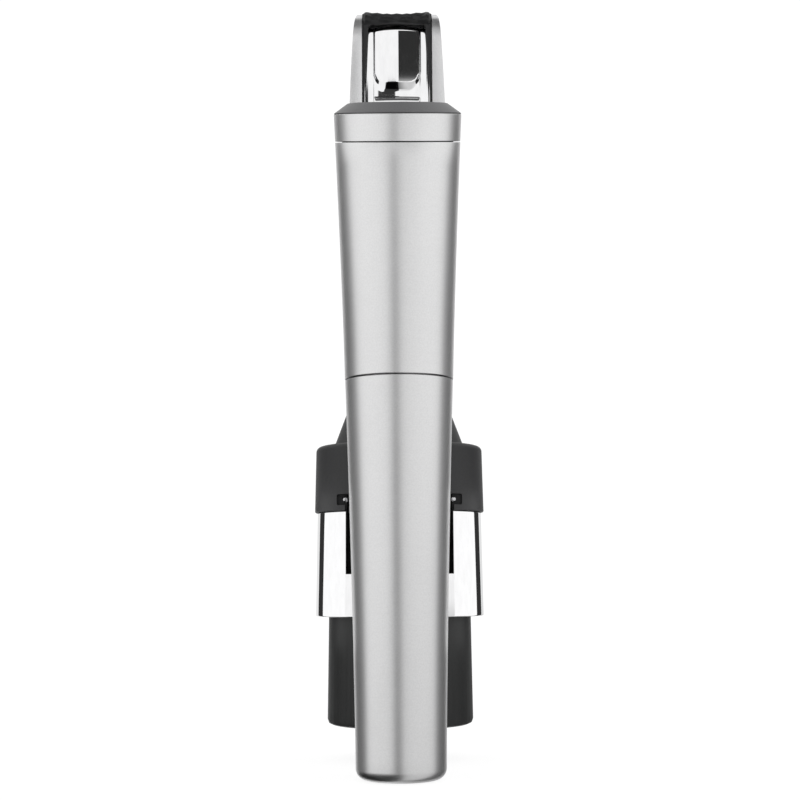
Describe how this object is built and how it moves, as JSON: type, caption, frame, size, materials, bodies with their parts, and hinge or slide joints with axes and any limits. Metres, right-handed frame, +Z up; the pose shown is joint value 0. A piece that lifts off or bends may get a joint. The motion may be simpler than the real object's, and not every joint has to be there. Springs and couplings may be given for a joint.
{
  "type": "wine preservation dispenser",
  "caption": "Hand-held dispenser that grips a bottle neck, pushes a hollow needle through the closure, feeds gas from a capsule in the handle and pours through a side spout by a thumb trigger.",
  "frame": {"origin": "on the needle's axis, in the middle of the jaws' grip on the bottle neck, 23.8 mm above the flat base of the handle's capsule cup", "axes": "+Z up along the needle away from the bottle, +Y forward along the spout, +X to the right seen from behind the handle"},
  "size_m": [0.048, 0.1232, 0.2057],
  "materials": {
    "brushed_steel": "brushed lengthwise, clear satin",
    "dark_cap": "dark grey satin",
    "black_plastic": "fine matt",
    "jaw_plastic": "smooth matt",
    "plated": "polished plating",
    "satin_silver": "satin",
    "plain_steel": "ground",
    "capsule_steel": "bright zinc",
    "anodised": "anodised",
    "brass": "machined",
    "white_plastic": "smooth, self-lubricating",
    "seal_rubber": "smooth",
    "grip_rubber": "soft matt"
  },
  "bodies": {
    "handle_and_head": {"handle_shell": "brushed_steel", "collar_ring": "brushed_steel", "cap_plate": "dark_cap", "head_frame": "black_plastic", "head_cover": "plated", "trigger_pin": "plain_steel", "rail": "anodised", "rail_screws": "plain_steel", "rail_stop": "black_plastic", "stop_screw": "plain_steel", "needle": "plain_steel", "needle_hub": "brass", "needle_seal": "seal_rubber", "spout": "plain_steel", "spout_nut": "plated", "valve_block": "brass", "valve_spring": "plain_steel", "gas_tube": "brass", "regulator_body": "brass", "regulator_cap": "plain_steel", "regulator_spring": "plain_steel", "piercer": "plain_steel", "capsule_seal": "seal_rubber", "cup_thread_ring": "anodised"},
    "piston": {"regulator_piston": "plain_steel", "piston_seal": "seal_rubber"},
    "trigger": {"trigger_arms": "satin_silver", "trigger_frame": "black_plastic", "thumb_pad": "grip_rubber"},
    "plunger": {"valve_plunger": "plain_steel", "plunger_seal": "seal_rubber"},
    "cup": {"capsule_cup": "brushed_steel", "cup_cushion": "seal_rubber", "gas_capsule": "capsule_steel"},
    "clamp": {"clamp_housing": "black_plastic", "clamp_band": "plated", "needle_guide": "white_plastic", "glide_strips": "white_plastic", "jaw_pins": "plain_steel", "bottle_stop": "seal_rubber", "bottle_stop_screws": "plain_steel", "jaw_springs": "plain_steel"},
    "jaw_left": {"left_jaw": "jaw_plastic", "left_jaw_pad": "grip_rubber"},
    "jaw_right": {"right_jaw": "jaw_plastic", "right_jaw_pad": "grip_rubber"}
  },
  "joints": [
    {"name": "clamp_slide", "type": "slide", "parent": "handle_and_head", "child": "clamp", "axis": [0, 0, 1], "range_m": [0, 0.056]},
    {"name": "trigger_press", "type": "hinge", "parent": "handle_and_head", "child": "trigger", "pos_m": [0, -0.002, 0.1562], "axis": [1, 0, 0], "range_deg": [0, 5], "stiffness_Nm_per_rad": 0.8, "springref_deg": -5.73},
    {"name": "plunger_press", "type": "slide", "parent": "handle_and_head", "child": "plunger", "axis": [0, 0, -1], "range_m": [0, 0.0015], "deforming": ["valve_spring"]},
    {"name": "piston_slide", "type": "slide", "parent": "handle_and_head", "child": "piston", "axis": [0, 0, 1], "range_m": [0, 0.0015], "stiffness_N_per_m": 800, "springref_m": -0.002, "deforming": ["regulator_spring"]},
    {"name": "cup_unscrew", "type": "slide", "parent": "handle_and_head", "child": "cup", "axis": [0, 0, -1], "range_m": [0, 0.02]},
    {"name": "left_jaw_swing", "type": "hinge", "parent": "clamp", "child": "jaw_left", "pos_m": [-0.0147, 0, 0.0475], "axis": [0, 1, 0], "range_deg": [0, 3.5], "stiffness_Nm_per_rad": 2, "springref_deg": -11.46},
    {"name": "right_jaw_swing", "type": "hinge", "parent": "clamp", "child": "jaw_right", "pos_m": [0.0147, 0, 0.0475], "axis": [0, -1, 0], "range_deg": [0, 3.5], "stiffness_Nm_per_rad": 2, "springref_deg": -11.46}
  ],
  "couplings": [
    {"joint": "plunger_press", "follows": "trigger_press", "m_per_rad": 0.017}
  ]
}
